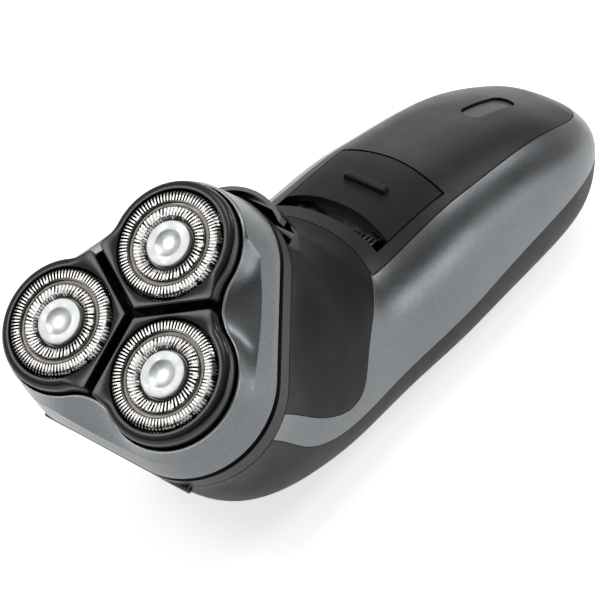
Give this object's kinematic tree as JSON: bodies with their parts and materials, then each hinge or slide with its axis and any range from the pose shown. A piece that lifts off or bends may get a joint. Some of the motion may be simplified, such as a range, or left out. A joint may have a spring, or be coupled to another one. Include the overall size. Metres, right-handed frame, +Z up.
{
  "type": "rotary electric shaver",
  "caption": "Cordless rotary shaver: angled head with spinning cutters under slotted rings, tilting petals, hinged head, pop-up trimmer and keyed handle.",
  "frame": {"origin": "under the middle of the shaver's bounding box, on the surface that it lies on", "axes": "+Z up, +Y from the head towards the handle's tail, X across the shaver"},
  "size_m": [0.062, 0.1724, 0.0762],
  "materials": {
    "metallic_paint": "satin gunmetal paint with fine flake",
    "shell_grey": "satin moulded plastic",
    "front_black": "satin brown-black plastic",
    "neck_black": "fine matte texture",
    "flap_black": "satin black plastic",
    "collar_grey": "satin dark grey plastic",
    "gloss_black": "glossy black plastic",
    "button_grey": "soft-touch key",
    "inner_black": "plain moulded",
    "inner_grey": "plain moulded",
    "foil_steel": "polished stainless steel",
    "cap_silver": "frosted silver",
    "steel": "bright steel",
    "motor_can": "zinc-plated can",
    "nylon": "moulded nylon",
    "nylon_white": "moulded acetal",
    "cell_wrap": "plain shrink sleeve over a metal can, whose mean density it takes",
    "board_green": "solder mask",
    "light_lens": "clear diffused lens"
  },
  "bodies": {
    "handle": {"rear_shell": "shell_grey", "side_panel_left": "metallic_paint", "side_panel_right": "metallic_paint", "front_panel": "front_black", "neck_cover": "neck_black", "drive_deck": "inner_black", "gear_plate": "inner_grey", "deck_screws": "steel", "motor": "motor_can", "motor_bracket": "inner_grey", "head_hinge_pins": "steel", "trimmer_well": "inner_black", "trimmer_hinge_pin": "steel", "chassis": "inner_grey", "cell_left": "cell_wrap", "cell_right": "cell_wrap", "cell_contacts": "steel", "circuit_board": "board_green", "board_parts": "inner_black", "power_switch": "inner_black", "charge_lights": "light_lens", "charging_socket": "inner_black", "socket_pin": "steel"},
    "head": {"head_bezel": "metallic_paint", "head_collar": "collar_grey", "retaining_plate": "inner_black", "petal_springs": "steel"},
    "lock": {"lock_knob": "inner_grey"},
    "pinion": {"motor_pinion": "nylon", "motor_shaft": "steel"},
    "flap": {"trimmer_flap": "flap_black", "trimmer_comb": "steel"},
    "blade": {"trimmer_blade": "steel"},
    "power_key": {"power_button": "button_grey"},
    "release_key": {"release_button": "gloss_black"},
    "petal_1": {"petal_1": "gloss_black"},
    "ring_1": {"foil_1": "foil_steel", "foil_cap_1": "cap_silver"},
    "spinner_1": {"cutter_1": "steel"},
    "gear_1": {"drive_gear_1": "nylon", "drive_spindle_1": "nylon_white"},
    "petal_2": {"petal_2": "gloss_black"},
    "ring_2": {"foil_2": "foil_steel", "foil_cap_2": "cap_silver"},
    "spinner_2": {"cutter_2": "steel"},
    "gear_2": {"drive_gear_2": "nylon", "drive_spindle_2": "nylon_white"},
    "petal_3": {"petal_3": "gloss_black"},
    "ring_3": {"foil_3": "foil_steel", "foil_cap_3": "cap_silver"},
    "spinner_3": {"cutter_3": "steel"},
    "gear_3": {"drive_gear_3": "nylon", "drive_spindle_3": "nylon_white"}
  },
  "joints": [
    {"name": "head_hinge", "type": "hinge", "parent": "handle", "child": "head", "pos_m": [0, -0.07702, 0.02783], "axis": [1, 0, 0], "range_deg": [0, 100]},
    {"name": "lock_turn", "type": "hinge", "parent": "head", "child": "lock", "pos_m": [0, -0.06255, 0.05027], "axis": [0, -0.5878, 0.809], "range_deg": [0, 90]},
    {"name": "flap_hinge", "type": "hinge", "parent": "handle", "child": "flap", "pos_m": [0, 0.017, 0.03968], "axis": [-1, 0, 0], "range_deg": [0, 50]},
    {"name": "blade_slide", "type": "slide", "parent": "flap", "child": "blade", "axis": [1, 0, 0], "range_m": [-0.0008, 0.0008], "stiffness_N_per_m": 60},
    {"name": "power_press", "type": "slide", "parent": "handle", "child": "power_key", "axis": [0, 0, -1], "range_m": [0, 0.0008], "stiffness_N_per_m": 500, "springref_m": -0.001},
    {"name": "release_press", "type": "slide", "parent": "handle", "child": "release_key", "axis": [0, -0.809, -0.5878], "range_m": [0, 0.001], "stiffness_N_per_m": 700, "springref_m": -0.0012},
    {"name": "petal_1_tilt", "type": "hinge", "parent": "head", "child": "petal_1", "pos_m": [0, -0.06549, 0.06198], "axis": [-1, 0, 0], "range_deg": [0, 4], "stiffness_Nm_per_rad": 0.5, "springref_deg": -3.44},
    {"name": "ring_1_float", "type": "slide", "parent": "petal_1", "child": "ring_1", "axis": [0, 0.5878, -0.809], "range_m": [0, 0.001], "stiffness_N_per_m": 500, "springref_m": -0.0015},
    {"name": "cutter_1_spin", "type": "hinge", "parent": "ring_1", "child": "spinner_1", "pos_m": [0, -0.05489, 0.06696], "axis": [0, -0.5878, 0.809], "continuous": true},
    {"name": "gear_1_spin", "type": "hinge", "parent": "handle", "child": "gear_1", "pos_m": [0, -0.04196, 0.04916], "axis": [0, -0.5878, 0.809], "continuous": true},
    {"name": "petal_2_tilt", "type": "hinge", "parent": "head", "child": "petal_2", "pos_m": [-0.0039, -0.07095, 0.05801], "axis": [0.5, -0.7006, -0.509], "range_deg": [0, 4], "stiffness_Nm_per_rad": 0.5, "springref_deg": -3.44},
    {"name": "ring_2_float", "type": "slide", "parent": "petal_2", "child": "ring_2", "axis": [0, 0.5878, -0.809], "range_m": [0, 0.001], "stiffness_N_per_m": 500, "springref_m": -0.0015},
    {"name": "cutter_2_spin", "type": "hinge", "parent": "ring_2", "child": "spinner_2", "pos_m": [-0.01386, -0.07431, 0.05285], "axis": [0, -0.5878, 0.809], "continuous": true},
    {"name": "gear_2_spin", "type": "hinge", "parent": "handle", "child": "gear_2", "pos_m": [-0.01386, -0.06138, 0.03505], "axis": [0, -0.5878, 0.809], "continuous": true},
    {"name": "petal_3_tilt", "type": "hinge", "parent": "head", "child": "petal_3", "pos_m": [0.0039, -0.07095, 0.05801], "axis": [0.5, 0.7006, 0.509], "range_deg": [0, 4], "stiffness_Nm_per_rad": 0.5, "springref_deg": -3.44},
    {"name": "ring_3_float", "type": "slide", "parent": "petal_3", "child": "ring_3", "axis": [0, 0.5878, -0.809], "range_m": [0, 0.001], "stiffness_N_per_m": 500, "springref_m": -0.0015},
    {"name": "cutter_3_spin", "type": "hinge", "parent": "ring_3", "child": "spinner_3", "pos_m": [0.01386, -0.07431, 0.05285], "axis": [0, -0.5878, 0.809], "continuous": true},
    {"name": "gear_3_spin", "type": "hinge", "parent": "handle", "child": "gear_3", "pos_m": [0.01386, -0.06138, 0.03505], "axis": [0, -0.5878, 0.809], "continuous": true},
    {"name": "pinion_spin", "type": "hinge", "parent": "handle", "child": "pinion", "pos_m": [0, -0.05432, 0.03895], "axis": [0, -0.5878, 0.809], "continuous": true}
  ],
  "couplings": [
    {"joint": "cutter_1_spin", "follows": "gear_1_spin", "ratio": 1},
    {"joint": "gear_2_spin", "follows": "gear_1_spin", "ratio": 1},
    {"joint": "cutter_2_spin", "follows": "gear_1_spin", "ratio": 1},
    {"joint": "gear_3_spin", "follows": "gear_1_spin", "ratio": 1},
    {"joint": "cutter_3_spin", "follows": "gear_1_spin", "ratio": 1},
    {"joint": "pinion_spin", "follows": "gear_1_spin", "ratio": -2.5556}
  ]
}
